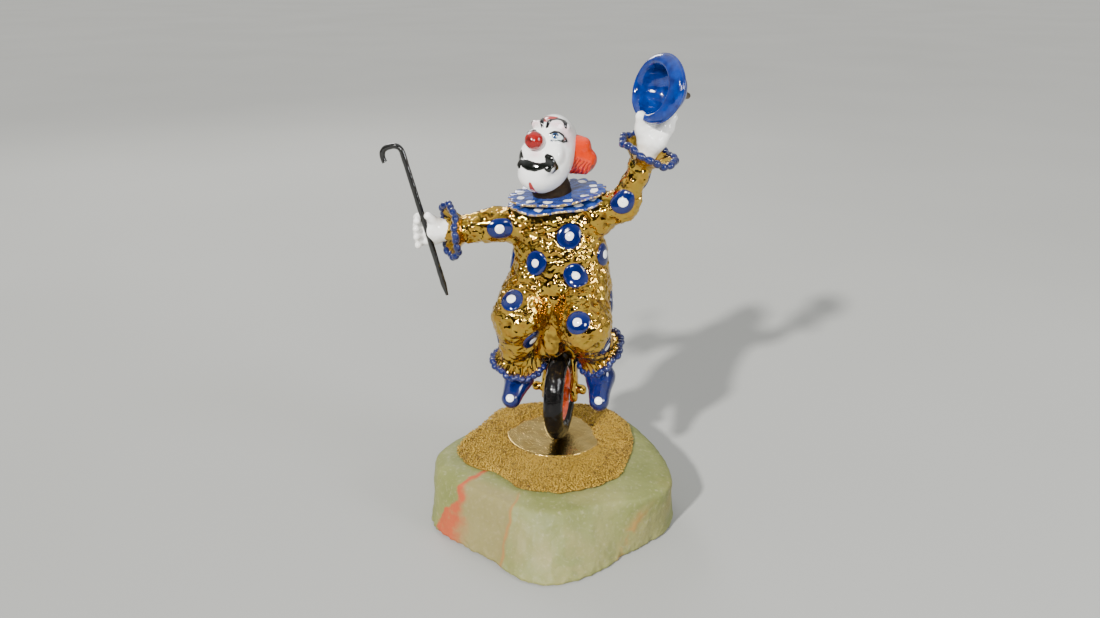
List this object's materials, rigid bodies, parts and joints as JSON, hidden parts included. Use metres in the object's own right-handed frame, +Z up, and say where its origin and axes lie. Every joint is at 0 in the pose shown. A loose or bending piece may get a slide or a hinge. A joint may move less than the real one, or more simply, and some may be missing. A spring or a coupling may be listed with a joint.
{
  "type": "clown figurine",
  "caption": "Gold-plated and enamelled clown riding a unicycle, with a cane in one hand and a bowler hat held up in the other, on a rough onyx base.",
  "frame": {"origin": "middle of the onyx base's flat underside, on the surface that it stands on", "axes": "+Z up, the clown faces -Y, his left hand with the hat is on +X and his right hand with the cane on -X"},
  "size_m": [0.1321, 0.1142, 0.2055],
  "materials": {
    "onyx": "polished",
    "gold_granules": "granular",
    "gold_disc": "polished",
    "black_enamel": "gloss",
    "gold_frame": "polished",
    "gold_suit": "polished",
    "blue_enamel": "gloss",
    "black_cane": "gloss"
  },
  "bodies": {
    "root": {"onyx_base": "onyx", "gold_granules": "gold_granules", "ground_disc": "gold_disc", "unicycle_wheel": "black_enamel", "unicycle_frame": "gold_frame", "clown": "gold_suit", "hat": "blue_enamel", "cane": "black_cane"}
  },
  "joints": []
}
